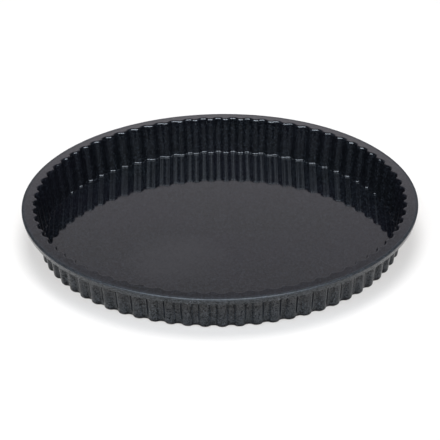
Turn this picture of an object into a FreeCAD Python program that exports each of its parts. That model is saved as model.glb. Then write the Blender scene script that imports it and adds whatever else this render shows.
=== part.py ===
"""A fluted tart pan: one steel sheet pressed into shape, glossy inside and speckled outside.

The pan is three layers: the steel, the coating on its inner face and the coating on its outer
face. Every boundary between them is the same pressed form, floor, fluted wall and broad rim, at
its own depth below the glossy face. The wave of the wall runs through rounded corners at both
ends, which no sketch feature or primitive can make, so each layer is built from faces.

Sizes are millimetres. The origin is the centre of the underside and +Z is up.
"""

import FreeCAD, Part
import math
import os

DIMENSIONS = [
    # alias, value, what it is
    ("rim_diameter", 300.0, "across the outside of the rim"),
    ("pan_height", 30.8, "underside to the top of the rim, where it meets the wall"),
    ("foot_diameter", 272.6, "glossy wall where it meets the floor, halfway between ridge and pocket"),
    ("wall_draft", 7.0, "lean of the wall from upright, degrees"),
    ("flute_count", 70, "flutes around the wall"),
    ("flute_depth_foot", 2.3, "ridge to pocket at the floor"),
    ("flute_depth_mouth", 2.4, "ridge to pocket at the rim"),
    ("flute_squareness", 1.5, "0 is a plain wave, a larger number gives flatter flutes, steeper flanks"),
    ("floor_rounding", 1.2, "radius between floor and wall, glossy face"),
    ("mouth_rounding", 1.8, "radius between wall and rim, glossy face"),
    ("rim_fall", 3.0, "how far the rim slopes down outwards, degrees"),
    ("rim_rounding", 1.2, "radius between rim and skirt, outside"),
    ("skirt_length", 3.4, "straight part of the rim's turned-down edge"),
    ("skirt_lean", 12.0, "how far the skirt leans in towards the wall, degrees"),
    ("steel_thickness", 0.6, "the pressed sheet"),
    ("coating_thickness", 0.2, "each of the two coatings"),
]

POINTS_PER_FLUTE = 8
SECTIONS_PER_ROUNDING = 5
SEWING_TOLERANCE = 1e-4
UP = FreeCAD.Vector(0, 0, 1)
CENTRE = FreeCAD.Vector(0, 0, 0)


def make_dimension_sheet(document):
    """Put the driving dimensions in a spreadsheet, one alias each."""
    sheet = document.addObject("Spreadsheet::Sheet", "Dimensions")
    for row, (alias, value, meaning) in enumerate(DIMENSIONS, start=1):
        sheet.set(f"A{row}", alias)
        sheet.set(f"B{row}", str(value))
        sheet.set(f"C{row}", meaning)
        sheet.setAlias(f"B{row}", alias)
    document.recompute()
    return sheet


class PressedForm:
    """The pressed shape of the sheet, at any depth below its glossy face."""

    def __init__(self, sheet):
        self.flutes = int(sheet.get("flute_count"))
        self.squareness = sheet.get("flute_squareness")
        self.height = sheet.get("pan_height")
        self.rim_radius = sheet.get("rim_diameter") / 2
        self.floor_rounding = sheet.get("floor_rounding")
        self.mouth_rounding = sheet.get("mouth_rounding")
        self.rim_rounding = sheet.get("rim_rounding")
        self.coating = sheet.get("coating_thickness")
        self.steel = sheet.get("steel_thickness")
        self.rim_fall = math.radians(sheet.get("rim_fall"))
        self.skirt_length = sheet.get("skirt_length")
        self.skirt_lean = math.radians(sheet.get("skirt_lean"))
        self.draft = math.radians(sheet.get("wall_draft"))
        self.foot_swing = sheet.get("flute_depth_foot") / 2
        self.mouth_swing = sheet.get("flute_depth_mouth") / 2
        self.foot_radius = sheet.get("foot_diameter") / 2
        self.mouth_radius = self.foot_radius + self.wall_spread()
        self.corner_height = self.height - self.rim_rounding - self.rim_drop()

    def wall_spread(self):
        """How much wider the wall is at the mouth than at the foot, so that it runs straight
        from the floor's rounding to the rim's."""
        floor = 2 * self.coating + self.steel
        roundings = self.floor_rounding + self.mouth_rounding
        straight_height = self.height - floor - roundings * (1 - math.sin(self.draft))
        return straight_height * math.tan(self.draft) - roundings * (1 - math.cos(self.draft))

    def rim_drop(self):
        """How much lower the rim is at its outer corner than where it meets the wall."""
        width = self.rim_radius - self.rim_rounding - self.mouth_radius - self.mouth_rounding
        return width * math.tan(self.rim_fall)

    def flute_point(self, turn, radius, swing, outward, z):
        """A point of the wave at `turn` flutes around, moved `outward` square to the wave."""
        angle = 2 * math.pi * turn / self.flutes
        wave = math.cos(2 * math.pi * turn)
        wave_slope = -self.flutes * math.sin(2 * math.pi * turn)
        squared = math.tanh(self.squareness * wave) / math.tanh(self.squareness)
        squared_slope = (self.squareness * wave_slope / math.cosh(self.squareness * wave) ** 2
                         / math.tanh(self.squareness))
        r = radius + swing * squared
        steepness = math.atan2(swing * squared_slope, r)
        across = angle - steepness
        x = r * math.cos(angle) + outward * math.cos(across)
        y = r * math.sin(angle) + outward * math.sin(across)
        return FreeCAD.Vector(x, y, z)

    def flute_edge(self, radius, swing, outward, z):
        """One flute of the wave as a smooth curve, from one crest to the next."""
        step = 1 / POINTS_PER_FLUTE
        points = [self.flute_point(i * step, radius, swing, outward, z)
                  for i in range(-1, POINTS_PER_FLUTE + 2)]
        curve = Part.BSplineCurve()
        curve.interpolate(
            Points=points[1:-1],
            Parameters=[i * step for i in range(POINTS_PER_FLUTE + 1)],
            InitialTangent=(points[2] - points[0]) / (2 * step),
            FinalTangent=(points[-1] - points[-3]) / (2 * step),
            Scale=False)
        return curve.toShape()

    def floor_corner(self, lean, depth):
        """The wave in the rounding between floor and wall, where the sheet leans by `lean`."""
        bend = self.floor_rounding + depth
        outward = bend * math.sin(lean) - self.floor_rounding
        z = 2 * self.coating + self.steel + self.floor_rounding - bend * math.cos(lean)
        return self.flute_edge(self.foot_radius, self.foot_swing, outward, z)

    def mouth_corner(self, lean, depth):
        """The wave in the rounding between wall and rim, where the sheet leans by `lean`."""
        bend = self.mouth_rounding - depth
        outward = self.mouth_rounding - bend * math.sin(lean)
        z = self.height - self.mouth_rounding + bend * math.cos(lean)
        return self.flute_edge(self.mouth_radius, self.mouth_swing, outward, z)

    def around(self, shapes):
        """Repeat one flute's shapes all the way around."""
        copies = []
        for number in range(self.flutes):
            for shape in shapes:
                copy = shape.copy()
                copy.rotate(CENTRE, UP, 360 * number / self.flutes)
                copies.append(copy)
        return copies

    def faces(self, depth):
        """The whole form at one depth: floor, roundings, wall, rim and its outer corner."""
        upright = math.pi / 2 - self.draft
        floor_corner = [self.floor_corner(lean, depth) for lean in even_steps(0, upright)]
        mouth_corner = [self.mouth_corner(lean, depth)
                        for lean in even_steps(upright, -self.rim_fall)]
        rim_corner = self.rim_corner(depth)
        rim_edge = self.one_flute_of_circle(rim_corner.firstVertex().Point)
        one_flute = [
            smooth_band(floor_corner),
            straight_band(floor_corner[-1], mouth_corner[0]),
            smooth_band(mouth_corner),
            straight_band(mouth_corner[-1], rim_edge),
            self.turned(rim_corner),
        ]
        floor_edge = Part.Wire(self.around([floor_corner[0]]))
        return [Part.Face(floor_edge), *self.around(one_flute)]

    def one_flute_of_circle(self, start):
        """An arc about the pan's axis from a place on +X, as long as one flute."""
        circle = Part.Circle(FreeCAD.Vector(0, 0, start.z), UP, start.x)
        return Part.ArcOfCircle(circle, 0, 2 * math.pi / self.flutes).toShape()

    def turned(self, edge):
        """The face an edge sweeps when it turns about the pan's axis by one flute."""
        return edge.revolve(CENTRE, UP, 360 / self.flutes)

    def rim_corner(self, depth):
        """The rounded outer corner of the rim as an arc, down to where the skirt runs straight."""
        last_lean = math.pi / 2 + self.skirt_lean
        leans = (self.rim_fall, (self.rim_fall + last_lean) / 2, last_lean)
        return Part.Arc(*[self.skirt_place(depth, 0, lean) for lean in leans]).toShape()

    def skirt_place(self, depth, run, lean):
        """A place `depth` below the outside of the rim's corner, where the sheet leans by `lean`,
        then `run` further down along the sheet."""
        bend = self.rim_rounding - depth
        r = self.rim_radius - self.rim_rounding + bend * math.sin(lean) + run * math.cos(lean)
        z = self.corner_height + bend * math.cos(lean) - run * math.sin(lean)
        return FreeCAD.Vector(r, 0, z)

    def skirt_faces(self, depths_and_runs):
        """Faces of revolution through places given as depth below the outside of the skirt and
        distance down it from the rim's corner."""
        lean = math.pi / 2 + self.skirt_lean
        places = [self.skirt_place(depth, run, lean) for depth, run in depths_and_runs]
        return self.around([self.turned(Part.makeLine(start, end))
                            for start, end in zip(places, places[1:])])


def even_steps(first, last):
    """Evenly spaced values from first to last, one for each section of a rounding."""
    return [first + (last - first) * i / (SECTIONS_PER_ROUNDING - 1)
            for i in range(SECTIONS_PER_ROUNDING)]


def smooth_band(edges):
    """A smooth face through several edges of one flute."""
    return Part.makeLoft([Part.Wire(edge) for edge in edges], False, False).Faces[0]


def straight_band(lower_edge, upper_edge):
    """A straight-sided face between two edges of one flute."""
    return Part.makeLoft([Part.Wire(lower_edge), Part.Wire(upper_edge)], False, True).Faces[0]


def solid_from(faces):
    """Sew faces that enclose a space into one solid, with its faces looking outward."""
    shell = Part.makeShell(faces)
    shell.sewShape(SEWING_TOLERANCE)
    solid = Part.makeSolid(shell)
    if solid.Volume < 0:
        solid.reverse()
    return solid


def inner_coating(form):
    """The glossy layer: floor, wall and rim, ending at the rim's outer corner."""
    ending = form.skirt_faces([(0, 0), (form.coating, 0)])
    return solid_from(form.faces(0) + ending + form.faces(form.coating))


def steel_outline(form):
    """The steel's skirt, from the rim's outer corner down, around the hem and up inside."""
    outside = form.coating
    inside = form.coating + form.steel
    hem = form.skirt_length - form.coating
    return form.skirt_faces([(outside, 0), (outside, hem), (inside, hem), (inside, 0)])


def steel_body(form):
    """The pressed sheet itself."""
    underside = form.coating + form.steel
    return solid_from(form.faces(form.coating) + steel_outline(form) + form.faces(underside))


def outer_coating(form):
    """The speckled layer: skirt, hem and the whole underside."""
    steel_underside = form.coating + form.steel
    underside = steel_underside + form.coating
    hem = form.skirt_length
    outside = form.skirt_faces([(form.coating, 0), (0, 0), (0, hem), (underside, hem), (underside, 0)])
    return solid_from(form.faces(steel_underside) + steel_outline(form) + outside
                      + form.faces(underside))


SUB_PARTS = {
    "pressed_steel_body": steel_body,
    "glossy_inner_coating": inner_coating,
    "speckled_outer_coating": outer_coating,
}


def add_sub_parts(document, form):
    """Make each sub-part an object of the document, labelled with its name."""
    objects = []
    for name, make_shape in SUB_PARTS.items():
        feature = document.addObject("Part::Feature", name)
        feature.Label = name
        feature.Shape = make_shape(form)
        feature.Placement = FreeCAD.Placement()
        objects.append(feature)
    document.recompute()
    return objects


def check(document, sub_parts):
    """Stop if any object failed, or any sub-part isn't one sound solid."""
    for item in document.Objects:
        if "Invalid" in item.State or "Error" in item.State:
            raise RuntimeError(f"{item.Label} failed: {item.State}")
    for item in sub_parts:
        shape = item.Shape
        if shape.isNull() or not shape.isValid() or len(shape.Solids) != 1:
            raise RuntimeError(f"{item.Label} isn't one valid solid")


def main():
    document = FreeCAD.newDocument("TartPan")
    form = PressedForm(make_dimension_sheet(document))
    sub_parts = add_sub_parts(document, form)
    check(document, sub_parts)
    os.makedirs("parts", exist_ok=True)
    for item in sub_parts:
        item.Shape.exportStep(f"parts/{item.Label}.step")
        box = item.Shape.BoundBox
        print(f"{item.Label}: {box.XLength:.1f} x {box.YLength:.1f} x {box.ZLength:.1f} mm")


main()
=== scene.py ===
"""Looks of the fluted tart pan: its two coatings as fine meshes, their materials, and a studio.

Metres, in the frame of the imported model: the origin is the centre of the underside, +Z is up.
"""

import math

import bpy
import numpy as np
from mathutils import Matrix, Vector


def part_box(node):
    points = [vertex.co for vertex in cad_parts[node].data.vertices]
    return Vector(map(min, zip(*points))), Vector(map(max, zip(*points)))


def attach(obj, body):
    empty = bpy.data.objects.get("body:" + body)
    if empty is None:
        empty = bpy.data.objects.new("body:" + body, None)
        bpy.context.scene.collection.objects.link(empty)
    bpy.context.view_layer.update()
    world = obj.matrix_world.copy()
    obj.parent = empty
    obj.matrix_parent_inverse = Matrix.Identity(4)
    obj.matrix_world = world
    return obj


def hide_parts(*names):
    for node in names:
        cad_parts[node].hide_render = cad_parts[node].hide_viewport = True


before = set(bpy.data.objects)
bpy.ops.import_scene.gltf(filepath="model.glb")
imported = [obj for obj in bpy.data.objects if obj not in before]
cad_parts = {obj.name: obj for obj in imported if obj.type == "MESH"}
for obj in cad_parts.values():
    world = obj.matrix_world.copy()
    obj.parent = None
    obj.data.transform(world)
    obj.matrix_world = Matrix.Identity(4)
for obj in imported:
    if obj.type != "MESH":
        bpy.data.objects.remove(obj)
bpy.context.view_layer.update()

MM = 0.001

# The pressed form. Its outside sizes come from the frame, the rest are the design's own. A swing
# is half the depth of the flutes, and SQUARENESS is how flat their crests and pockets are.
RIM_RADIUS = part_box("glossy_inner_coating")[1].x
PAN_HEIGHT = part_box("glossy_inner_coating")[1].z
FOOT_RADIUS = 136.3 * MM
WALL_DRAFT = math.radians(7)
FLUTES = 70
FOOT_SWING = 1.15 * MM
MOUTH_SWING = 1.2 * MM
SQUARENESS = 1.5
FLOOR_ROUNDING = 1.2 * MM
MOUTH_ROUNDING = 1.8 * MM
RIM_ROUNDING = 1.2 * MM
RIM_FALL = math.radians(3)
SKIRT_LENGTH = 3.4 * MM
SKIRT_LEAN = math.radians(12)
STEEL = 0.6 * MM
COATING = 0.2 * MM
SHEET = STEEL + 2 * COATING
HEM_ROUNDING = 0.15 * MM

# How fine the meshes are. The flat floor has rings at these distances inside the foot, with these
# shares of the flutes' swing, and the wall and rim have rings at these shares of their width.
COLUMNS_PER_FLUTE = 14
FLOOR_RINGS = [(60 * MM, 0), (4 * MM, 0.6), (0.5 * MM, 1)]
FLOOR_BEND_RINGS = 7
BEND_RINGS = 8
WALL_SHARES = (0.02, 0.5, 0.98)
RIM_SHARES = (0.05, 0.95)
SKIRT_TOP_RING = 0.2 * MM

# The enamels. The paler spot is on the floor, left of the middle and towards the camera. The outer
# coating's spray reaches over the rim's corner onto its top. Crevices up to CREVICE wide get
# painted shade, a darker colour and less shine, and edges wear over WORN_EDGE of pointiness, which
# is a half where the surface is flat.
SPOT_CENTRE = (-31 * MM, -45 * MM)
SPOT_RADIUS = 20 * MM
SPOT_FADE = 22 * MM
SPRAY_REACH = 3.5 * MM
SPRAY_FADE = 2.5 * MM
CREVICE = 6 * MM
WORN_EDGE = (0.53, 0.60)

# Where a flank of the outer wall mirrors the next flute, its shine is dimmed as painted shade for
# that dark flute: how squarely it faces outward, how far it faces down, and how far the mirrored
# sight line leaves the pan. Each pair is from wholly mirrored to not at all.
FLANK_FACING = (0.76, 0.94)
DOWN_FACING = (0.2, 0.4)
SIGHT_LEAVING = (0.2, 0.65)
MIRRORED_SHINE = 0.15

# The studio is a sky of radius one around the pan, dark but for a backdrop behind the pan and
# softboxes on the camera's side. The backdrop darkens with height over BACKDROP_FADE and dims to
# DIM_SHARE over BACKDROP_BOTTOM. It falls to DARK_SHARE over BACKDROP_TOP, BACKDROP_FRONT and
# BACKDROP_SIDES. The sky's tint goes from the softboxes' to the backdrop's over TINT_CHANGE.
# Softboxes are azimuth and elevation in degrees, half width, half height, edge softness and
# strength. The last two are what the roundings mirror as beads.
BACKDROP_LOW = 0.79
BACKDROP_HIGH = 0.38
BACKDROP_FADE = (0.36, 0.58)
BACKDROP_BOTTOM = (0.20, 0.34)
BACKDROP_TOP = (0.70, 0.82)
BACKDROP_FRONT = (0, 0.3)
BACKDROP_SIDES = (0.25, 0.50)
DIM_SHARE = 0.3
DARK_SHARE = 0.08
BACKDROP_TINT = (1.0, 0.965, 1.03)
SOFTBOX_TINT = (0.84, 0.94, 1.05)
TINT_CHANGE = (-0.1, 0.1)
SOFTBOXES = [
    (0, 90, 0.20, 0.20, 0.03, 2.0),
    (0, 45, 0.38, 0.36, 0.07, 0.95),
    (0, 14, 0.70, 0.17, 0.40, 1.0),
    (-31, 51, 0.30, 0.14, 0.05, 21.0),
    (31, 51, 0.30, 0.14, 0.05, 21.0),
]
WHITE_BEHIND = 1.1
CEILING_LIGHT_POWER = 66
CEILING_LIGHT_SIZE = 0.85
CEILING_LIGHT_HEIGHT = 1.8

TABLE_HALF_SIDE = 4
TABLE_GAP = 0.05 * MM
TABLE_GLOW = 0.50
TABLE_GLOW_COLOUR = (1.0, 0.965, 0.935)

# The camera's place and aim are from the middle of the rim. Its angles are degrees, and half a
# flute's turn would bring a crest straight in front of it.
CAMERA_AZIMUTH = 180 / FLUTES - 0.235
CAMERA_ELEVATION = 27.756
CAMERA_ROLL = -0.844
CAMERA_DISTANCE = 1.245
CAMERA_AIM = (-0.07 * MM, 0, -20.2 * MM)
CAMERA_LENS = 134.07
CAMERA_SENSOR = 36

COLUMNS = FLUTES * COLUMNS_PER_FLUTE
TURN = np.arange(COLUMNS) * 2 * math.pi / COLUMNS


def wave_ring(radius, swing, outward, z):
    """A closed ring of points that follows the flutes, moved `outward` square to their wave."""
    wave = np.cos(FLUTES * TURN)
    squared = np.tanh(SQUARENESS * wave) / math.tanh(SQUARENESS)
    slope = (-SQUARENESS * FLUTES * np.sin(FLUTES * TURN)
             / np.cosh(SQUARENESS * wave) ** 2 / math.tanh(SQUARENESS))
    r = radius + swing * squared
    across = TURN - np.arctan2(swing * slope, r)
    x = r * np.cos(TURN) + outward * np.cos(across)
    y = r * np.sin(TURN) + outward * np.sin(across)
    return np.stack([x, y, np.full(COLUMNS, z)], axis=1)


def round_ring(radius, z):
    """A closed ring of points on a plain circle."""
    return np.stack([radius * np.cos(TURN), radius * np.sin(TURN), np.full(COLUMNS, z)], axis=1)


def wall_spread():
    """How much wider the wall is at the mouth than at the foot."""
    roundings = FLOOR_ROUNDING + MOUTH_ROUNDING
    straight = PAN_HEIGHT - SHEET - roundings * (1 - math.sin(WALL_DRAFT))
    return straight * math.tan(WALL_DRAFT) - roundings * (1 - math.cos(WALL_DRAFT))


MOUTH_RADIUS = FOOT_RADIUS + wall_spread()
UPRIGHT = math.pi / 2 - WALL_DRAFT
SKIRT_TURN = math.pi / 2 + SKIRT_LEAN
RIM_WIDTH = RIM_RADIUS - RIM_ROUNDING - MOUTH_RADIUS - MOUTH_ROUNDING
RIM_HEIGHT = PAN_HEIGHT - RIM_WIDTH * math.tan(RIM_FALL)
CORNER_HEIGHT = RIM_HEIGHT - RIM_ROUNDING


def steps(start, end, count):
    """Evenly spaced values from start to end, both included."""
    return [start + (end - start) * i / (count - 1) for i in range(count)]


def form_rings(depth):
    """Rings over the pressed form at a depth below the glossy face, from floor to rim corner."""
    rings = []
    for inset, share in FLOOR_RINGS:
        rings.append(wave_ring(FOOT_RADIUS - inset, share * FOOT_SWING, -FLOOR_ROUNDING,
                               SHEET - depth))
    bend = FLOOR_ROUNDING + depth
    for lean in steps(0, UPRIGHT, FLOOR_BEND_RINGS):
        outward = bend * math.sin(lean) - FLOOR_ROUNDING
        z = SHEET + FLOOR_ROUNDING - bend * math.cos(lean)
        rings.append(wave_ring(FOOT_RADIUS, FOOT_SWING, outward, z))
    bend = MOUTH_ROUNDING - depth
    mouth = []
    for lean in steps(UPRIGHT, -RIM_FALL, BEND_RINGS):
        outward = MOUTH_ROUNDING - bend * math.sin(lean)
        z = PAN_HEIGHT - MOUTH_ROUNDING + bend * math.cos(lean)
        mouth.append(wave_ring(MOUTH_RADIUS, MOUTH_SWING, outward, z))
    corner = [skirt_ring(depth, 0, lean) for lean in steps(RIM_FALL, SKIRT_TURN, BEND_RINGS)]
    rings += between(rings[-1], mouth[0], WALL_SHARES)
    flatten_rim(mouth, corner[0])
    rings += mouth
    rings += between(mouth[-1], corner[0], RIM_SHARES)
    rings += corner
    return rings


def between(start, end, shares):
    """Rings between two others, at these shares of the way."""
    return [start + (end - start) * share for share in shares]


def flatten_rim(mouth, corner):
    """Lower the mouth's outer bends so that its last ring lies on one even cone with the corner."""
    reach = np.hypot(mouth[-1][:, 0], mouth[-1][:, 1])
    inner = reach.min()
    outer = math.hypot(*corner[0][:2])
    fall = (mouth[-1][0][2] - corner[0][2]) / (outer - inner)
    lowering = (reach - inner) * fall
    for number, ring in enumerate(mouth):
        ring[:, 2] -= lowering * (number / (len(mouth) - 1)) ** 2


def skirt_ring(depth, run, lean=SKIRT_TURN):
    """A ring `depth` below the outside of the rim's corner, `run` further down the sheet."""
    bend = RIM_ROUNDING - depth
    r = RIM_RADIUS - RIM_ROUNDING + bend * math.sin(lean) + run * math.cos(lean)
    return round_ring(r, CORNER_HEIGHT + bend * math.cos(lean) - run * math.sin(lean))


def closed_layer(name, upper, lower):
    """A closed skin from two stacks of rings, each from floor to edge, joined at their edges."""
    rings = upper + lower[::-1]
    centres = [[0, 0, upper[0][0][2]], [0, 0, lower[0][0][2]]]
    vertices = np.concatenate(rings + [centres])
    first = np.arange(COLUMNS)
    after = np.roll(first, -1)
    faces = []
    for row in range(len(rings) - 1):
        low = row * COLUMNS
        high = low + COLUMNS
        faces += np.stack([low + first, high + first, high + after, low + after], axis=1).tolist()
    top_centre = len(rings) * COLUMNS
    bottom_centre = top_centre + 1
    last = top_centre - COLUMNS
    faces += [(top_centre, int(a), int(b)) for a, b in zip(first, after)]
    faces += [(bottom_centre, int(last + b), int(last + a)) for a, b in zip(first, after)]
    mesh = bpy.data.meshes.new(name)
    mesh.from_pydata(vertices.tolist(), [], faces)
    mesh.shade_smooth()
    piece = bpy.data.objects.new(name, mesh)
    bpy.context.scene.collection.objects.link(piece)
    return piece


def make_inner_coating():
    """The glossy coating on the floor, the inside of the wall and the top of the rim."""
    piece = closed_layer("inner_coating", form_rings(0), form_rings(COATING))
    piece.data.materials.append(glossy_enamel())
    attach(piece, "root")
    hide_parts("glossy_inner_coating")


def make_outer_coating():
    """The outer coating, wrapped around the steel's hem with slightly rounded edges."""
    inside = COATING + STEEL
    steel_hem = SKIRT_LENGTH - COATING
    upper = form_rings(inside)
    for depth, run in ((inside, steel_hem), (COATING, steel_hem), (COATING, 0)):
        upper.append(skirt_ring(depth, run))
    hem = SKIRT_LENGTH
    lower = form_rings(SHEET)
    for depth, run in ((SHEET, hem - 2 * HEM_ROUNDING), (SHEET, hem - HEM_ROUNDING),
                       (SHEET - HEM_ROUNDING, hem), (HEM_ROUNDING, hem),
                       (0, hem - HEM_ROUNDING), (0, hem - 2 * HEM_ROUNDING),
                       (0, SKIRT_TOP_RING), (0, 0)):
        lower.append(skirt_ring(depth, run))
    piece = closed_layer("outer_coating", upper, lower)
    piece.data.materials.append(speckled_enamel())
    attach(piece, "root")
    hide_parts("speckled_outer_coating")


def finish_steel():
    """Give the steel its own material; the CAD's mesh stays as it is."""
    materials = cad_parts["pressed_steel_body"].data.materials
    materials.clear()
    materials.append(rolled_steel())


def new_material(name):
    """A material with an empty node tree but for its shader; returns tree and shader as well."""
    material = bpy.data.materials.new(name)
    material.use_nodes = True
    tree = material.node_tree
    return material, tree, tree.nodes["Principled BSDF"]


def object_place(tree):
    """The place on the object, in metres."""
    return tree.nodes.new("ShaderNodeTexCoord").outputs["Object"]


def noise(tree, scale, detail=2.0):
    """Smooth noise, `scale` waves to a metre, as a value around a half."""
    node = tree.nodes.new("ShaderNodeTexNoise")
    node.inputs["Scale"].default_value = scale
    node.inputs["Detail"].default_value = detail
    tree.links.new(object_place(tree), node.inputs["Vector"])
    return node.outputs["Fac"]


def flakes(tree, scale):
    """A different random value for each flake, `scale` of them to a metre."""
    node = tree.nodes.new("ShaderNodeTexVoronoi")
    node.inputs["Scale"].default_value = scale
    tree.links.new(object_place(tree), node.inputs["Vector"])
    split = tree.nodes.new("ShaderNodeSeparateColor")
    tree.links.new(node.outputs["Color"], split.inputs["Color"])
    return split.outputs["Red"]


def remap(tree, value, from_low, from_high, to_low, to_high):
    """Stretch a value from one range to another, held at both ends."""
    node = tree.nodes.new("ShaderNodeMapRange")
    tree.links.new(value, node.inputs["Value"])
    for socket, number in (("From Min", from_low), ("From Max", from_high),
                           ("To Min", to_low), ("To Max", to_high)):
        node.inputs[socket].default_value = number
    return node.outputs["Result"]


def number_step(tree, operation, first, second=None):
    """One step of arithmetic on a value, with another value or a plain number."""
    node = tree.nodes.new("ShaderNodeMath")
    node.operation = operation
    tree.links.new(first, node.inputs[0])
    if isinstance(second, (int, float)):
        node.inputs[1].default_value = second
    elif second is not None:
        tree.links.new(second, node.inputs[1])
    return node.outputs[0]


def vector_step(tree, operation, first, second=None):
    """One step of vector arithmetic: the vector it gives, or the number where it gives one."""
    node = tree.nodes.new("ShaderNodeVectorMath")
    node.operation = operation
    tree.links.new(first, node.inputs[0])
    if isinstance(second, (tuple, Vector)):
        node.inputs[1].default_value = second
    elif second is not None:
        tree.links.new(second, node.inputs[1])
    gives_number = operation in ("DOT_PRODUCT", "DISTANCE")
    return node.outputs["Value" if gives_number else "Vector"]


def product(tree, values):
    """All the values multiplied together."""
    result = values[0]
    for value in values[1:]:
        result = number_step(tree, "MULTIPLY", result, value)
    return result


def blend(tree, share, first, second):
    """A colour between two, each a colour or another node's output. The node has its two inputs
    and its result once for each type of data, so those for colours are taken by number."""
    node = tree.nodes.new("ShaderNodeMix")
    node.data_type = "RGBA"
    tree.links.new(share, node.inputs["Factor"])
    for socket, colour in ((node.inputs[6], first), (node.inputs[7], second)):
        if isinstance(colour, tuple):
            socket.default_value = (*colour, 1)
        else:
            tree.links.new(colour, socket)
    return node.outputs[2]


def bump(tree, shader, height, distance):
    """Rough the surface by a height from zero to one, `distance` metres tall."""
    node = tree.nodes.new("ShaderNodeBump")
    node.inputs["Distance"].default_value = distance
    node.inputs["Strength"].default_value = 1
    tree.links.new(height, node.inputs["Height"])
    tree.links.new(node.outputs["Normal"], shader.inputs["Normal"])


def openness(tree, distance):
    """One where the surface is open to all sides within a distance, less in crevices."""
    node = tree.nodes.new("ShaderNodeAmbientOcclusion")
    node.inputs["Distance"].default_value = distance
    node.samples = 8
    return node.outputs["AO"]


def worn_edges(tree, most):
    """Up to `most` on sharp outward edges of the mesh, zero elsewhere."""
    geometry = tree.nodes.new("ShaderNodeNewGeometry")
    return remap(tree, geometry.outputs["Pointiness"], *WORN_EDGE, 0, most)


def near(tree, centre, radius, soft):
    """One within `radius` of an upright line through `centre`, fading to zero over `soft`."""
    flat = vector_step(tree, "MULTIPLY", object_place(tree), (1, 1, 0))
    away = vector_step(tree, "DISTANCE", flat, (*centre, 0))
    return remap(tree, away, radius, radius + soft, 1, 0)


def mirrored_neighbour(tree):
    """One on the flanks of the flutes where the eye sees the next flute mirrored, else zero."""
    geometry = tree.nodes.new("ShaderNodeNewGeometry")
    reflection = tree.nodes.new("ShaderNodeTexCoord").outputs["Reflection"]
    flat = vector_step(tree, "MULTIPLY", geometry.outputs["Position"], (1, 1, 0))
    outward = vector_step(tree, "NORMALIZE", flat)
    facing = vector_step(tree, "DOT_PRODUCT", geometry.outputs["Normal"], outward)
    downward = vector_step(tree, "DOT_PRODUCT", geometry.outputs["Normal"], (0, 0, -1))
    mirrored = vector_step(tree, "DOT_PRODUCT", reflection, outward)
    return product(tree, [remap(tree, facing, *FLANK_FACING, 1, 0),
                          remap(tree, downward, *DOWN_FACING, 1, 0),
                          remap(tree, mirrored, *SIGHT_LEAVING, 1, 0)])


def glossy_enamel():
    """Near-black enamel, mirror smooth, with fine blue-grey flakes in it and a paler spot.
    The outer coating's spray reaches over the rim's corner, which it leaves satin."""
    material, tree, shader = new_material("glossy_enamel")
    ground = (0.0014, 0.0016, 0.0020)
    flake = (0.012, 0.014, 0.017)
    cloud = (0.006, 0.005, 0.008)
    paler_spot = (0.0115, 0.011, 0.012)
    edge = (0.05, 0.055, 0.06)
    speckle = remap(tree, flakes(tree, 1400), 0.55, 1.0, 0.0, 1.0)
    colour = blend(tree, speckle, ground, flake)
    cloudy = remap(tree, noise(tree, 14), 0.35, 0.65, 0.0, 0.35)
    colour = blend(tree, cloudy, colour, cloud)
    # A paler spot on the floor, blended in as a lighter colour.
    spot = product(tree, [near(tree, SPOT_CENTRE, SPOT_RADIUS, SPOT_FADE),
                          remap(tree, noise(tree, 25), 0.3, 0.7, 0.4, 1)])
    colour = blend(tree, spot, colour, paler_spot)
    clear_of_spray = near(tree, (0, 0), RIM_RADIUS - SPRAY_REACH, SPRAY_FADE)
    colour = blend(tree, clear_of_spray, spray_colour(tree), colour)
    colour = blend(tree, worn_edges(tree, 0.3), colour, edge)
    tree.links.new(colour, shader.inputs["Base Color"])
    gloss = remap(tree, noise(tree, 60, 4), 0.3, 0.7, 0.035, 0.075)
    satin = remap(tree, clear_of_spray, 0, 1, 0.42, 0)
    tree.links.new(number_step(tree, "ADD", gloss, satin), shader.inputs["Roughness"])
    shine = remap(tree, flakes(tree, 1100), 0, 1, 0.38, 0.62)
    tree.links.new(shine, shader.inputs["Specular IOR Level"])
    bump(tree, shader, noise(tree, 420, 3), 0.004 * MM)
    return material


def spray_colour(tree):
    """The outer coating's flakes where they lie thinly over the rim."""
    ground = (0.005, 0.006, 0.007)
    flake = (0.022, 0.025, 0.030)
    speckle = remap(tree, flakes(tree, 1250), 0.4, 1.0, 0.0, 1.0)
    return blend(tree, speckle, ground, flake)


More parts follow.
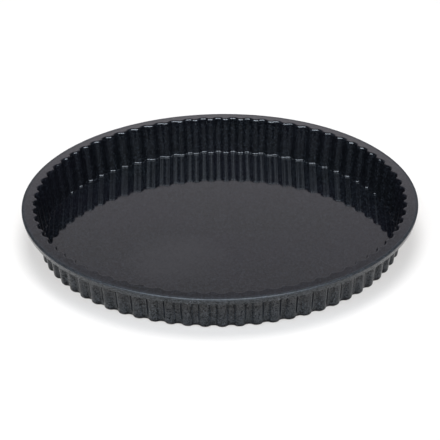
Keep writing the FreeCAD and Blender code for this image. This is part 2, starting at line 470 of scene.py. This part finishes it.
def speckled_enamel():
    """Satin blue-grey enamel with pale shiny flakes and a fine grain; painted shade darkens its
    crevices and dims its mirroring flanks.
    """
    material, tree, shader = new_material("speckled_enamel")
    ground = (0.000, 0.001, 0.001)
    pale_flake = (0.026, 0.031, 0.039)
    patch = (0.007, 0.009, 0.012)
    edge = (0.09, 0.10, 0.11)
    crevice_shade = (0.001, 0.001, 0.001)
    flake = flakes(tree, 2100)
    speckle = remap(tree, flake, 0.4, 1.0, 0.0, 1.0)
    colour = blend(tree, speckle, ground, pale_flake)
    patches = remap(tree, noise(tree, 40, 3), 0.35, 0.65, 0.0, 0.4)
    colour = blend(tree, patches, colour, patch)
    colour = blend(tree, worn_edges(tree, 0.4), colour, edge)
    # Painted shade: where ambient occlusion finds a crevice, the colour goes to near black and the
    # shine drops.
    unshaded_share = remap(tree, openness(tree, CREVICE), 0.40, 0.80, 0.05, 1.0)
    colour = blend(tree, unshaded_share, crevice_shade, colour)
    tree.links.new(colour, shader.inputs["Base Color"])
    # Painted shade also cuts the shine: in crevices, and on flanks that mirror the next flute.
    shine = product(tree, [remap(tree, flake, 0, 1, 0.03, 0.88), unshaded_share,
                           remap(tree, mirrored_neighbour(tree), 0, 1, 1, MIRRORED_SHINE)])
    tree.links.new(shine, shader.inputs["Specular IOR Level"])
    satin = remap(tree, noise(tree, 300, 4), 0.3, 0.7, 0.15, 0.23)
    tree.links.new(satin, shader.inputs["Roughness"])
    bump(tree, shader, noise(tree, 1300, 3), 0.03 * MM)
    return material


def rolled_steel():
    """Bare rolled sheet, brushed one way, seen only where a coating is cut or worn through."""
    material, tree, shader = new_material("rolled_steel")
    dark = (0.42, 0.42, 0.43)
    light = (0.62, 0.62, 0.64)
    grain = noise_along_x(tree, 6, 1200)
    tree.links.new(blend(tree, grain, dark, light), shader.inputs["Base Color"])
    tree.links.new(remap(tree, grain, 0.3, 0.7, 0.25, 0.45), shader.inputs["Roughness"])
    shader.inputs["Metallic"].default_value = 1
    bump(tree, shader, grain, 0.01 * MM)
    return material


def noise_along_x(tree, along, across):
    """Noise drawn out into lines along X, with this many waves to a metre each way."""
    stretched = vector_step(tree, "MULTIPLY", object_place(tree), (along, across, across))
    node = tree.nodes.new("ShaderNodeTexNoise")
    node.inputs["Scale"].default_value = 1
    node.inputs["Detail"].default_value = 3
    tree.links.new(stretched, node.inputs["Vector"])
    return node.outputs["Fac"]


def make_camera():
    """Just over half a metre above the pan and a metre in front, aimed a little under the rim."""
    camera = bpy.data.objects.new("camera", bpy.data.cameras.new("camera"))
    bpy.context.scene.collection.objects.link(camera)
    camera.data.sensor_width = CAMERA_SENSOR
    camera.data.lens = CAMERA_LENS
    middle = Vector((0, 0, RIM_HEIGHT))
    rise = math.radians(CAMERA_ELEVATION)
    place = middle + CAMERA_DISTANCE * Vector((0, -math.cos(rise), math.sin(rise)))
    aim = middle + Vector(CAMERA_AIM)
    look = (aim - place).to_track_quat("-Z", "Y").to_matrix().to_4x4()
    roll = Matrix.Rotation(math.radians(CAMERA_ROLL), 4, "Z")
    turn = Matrix.Rotation(math.radians(CAMERA_AZIMUTH), 4, "Z")
    camera.matrix_world = turn @ Matrix.Translation(place) @ look @ roll
    bpy.context.scene.camera = camera


def make_floor():
    """A wide grey table, lit to white and glowing a little so that shadows stay light. It is a
    hair below the underside, so that the two don't lie in one plane."""
    mesh = bpy.data.meshes.new("floor")
    side = TABLE_HALF_SIDE
    mesh.from_pydata([(-side, -side, 0), (side, -side, 0), (side, side, 0), (-side, side, 0)], [],
                     [(0, 1, 2, 3)])
    floor = bpy.data.objects.new("floor", mesh)
    floor.location = (0, 0, -TABLE_GAP)
    bpy.context.scene.collection.objects.link(floor)
    floor.data.materials.append(white_table())
    return floor


def white_table():
    """A matt, faintly clouded grey with a warm glow of its own, which the lamp makes white."""
    material, tree, shader = new_material("white_table")
    shade = (0.150, 0.146, 0.142)
    light = (0.160, 0.156, 0.152)
    tone = remap(tree, noise(tree, 3), 0.3, 0.7, 0.0, 1.0)
    colour = blend(tree, tone, shade, light)
    tree.links.new(colour, shader.inputs["Base Color"])
    shader.inputs["Roughness"].default_value = 0.9
    shader.inputs["Specular IOR Level"].default_value = 0.1
    shader.inputs["Emission Color"].default_value = (*TABLE_GLOW_COLOUR, 1)
    shader.inputs["Emission Strength"].default_value = TABLE_GLOW
    return material


def sky_direction(azimuth, elevation):
    """A direction from degrees: azimuth 0 is towards the camera, positive to its right."""
    turn = math.radians(azimuth)
    rise = math.radians(elevation)
    return Vector((math.sin(turn) * math.cos(rise), -math.cos(turn) * math.cos(rise),
                   math.sin(rise)))


def box_of_light(tree, direction, aim, half_width, half_height, soft):
    """One inside a soft-edged rectangle of sky around `aim`, zero outside it."""
    overhead = aim.z > 0.99
    side = Vector((1, 0, 0)) if overhead else aim.cross(Vector((0, 0, 1))).normalized()
    inside = []
    for axis, half in ((side, half_width), (side.cross(aim), half_height)):
        off = number_step(tree, "ABSOLUTE", vector_step(tree, "DOT_PRODUCT", direction, axis))
        inside.append(remap(tree, off, half - soft, half + soft, 1, 0))
    ahead = vector_step(tree, "DOT_PRODUCT", direction, aim)
    inside.append(remap(tree, ahead, 0, 0.05, 0, 1))
    return product(tree, inside)


def backdrop(tree, split):
    """The backdrop's light over the whole sky, whose direction is given in parts."""
    aside = number_step(tree, "ABSOLUTE", split.outputs["X"])
    return product(tree, [
        remap(tree, split.outputs["Z"], *BACKDROP_FADE, BACKDROP_LOW, BACKDROP_HIGH),
        remap(tree, split.outputs["Z"], *BACKDROP_BOTTOM, DIM_SHARE, 1),
        remap(tree, split.outputs["Z"], *BACKDROP_TOP, 1, DARK_SHARE),
        remap(tree, split.outputs["Y"], *BACKDROP_FRONT, DARK_SHARE, 1),
        remap(tree, aside, *BACKDROP_SIDES, 1, DARK_SHARE),
    ])


def make_studio():
    """Paint the backdrop and the softboxes on the sky. The camera itself sees it plain white."""
    world = bpy.data.worlds.new("studio")
    bpy.context.scene.world = world
    world.use_nodes = True
    tree = world.node_tree
    direction = tree.nodes.new("ShaderNodeTexCoord").outputs["Generated"]
    split = tree.nodes.new("ShaderNodeSeparateXYZ")
    tree.links.new(direction, split.inputs["Vector"])
    light = backdrop(tree, split)
    for azimuth, elevation, half_width, half_height, soft, strength in SOFTBOXES:
        patch = box_of_light(tree, direction, sky_direction(azimuth, elevation),
                             half_width, half_height, soft)
        glow = number_step(tree, "MULTIPLY", patch, strength)
        light = number_step(tree, "ADD", light, glow)
    camera_ray = tree.nodes.new("ShaderNodeLightPath").outputs["Is Camera Ray"]
    white = number_step(tree, "MULTIPLY", camera_ray, WHITE_BEHIND)
    seen = number_step(tree, "MAXIMUM", light, white)
    behind = remap(tree, split.outputs["Y"], *TINT_CHANGE, 0, 1)
    background = tree.nodes["Background"]
    tree.links.new(seen, background.inputs["Strength"])
    tree.links.new(blend(tree, behind, SOFTBOX_TINT, BACKDROP_TINT), background.inputs["Color"])
    bpy.context.scene.view_settings.view_transform = "Standard"


def make_ceiling_light(floor):
    """A wide soft light overhead that lights only the table, around the pan's shadow."""
    lamp = bpy.data.lights.new("ceiling_light", "AREA")
    lamp.energy = CEILING_LIGHT_POWER
    lamp.size = CEILING_LIGHT_SIZE
    light = bpy.data.objects.new("ceiling_light", lamp)
    light.location = (0, 0, CEILING_LIGHT_HEIGHT)
    light.visible_glossy = False
    lit = bpy.data.collections.new("lit_by_ceiling_light")
    lit.objects.link(floor)
    light.light_linking.receiver_collection = lit
    bpy.context.scene.collection.objects.link(light)


make_inner_coating()
make_outer_coating()
finish_steel()
make_ceiling_light(make_floor())
make_studio()
make_camera()
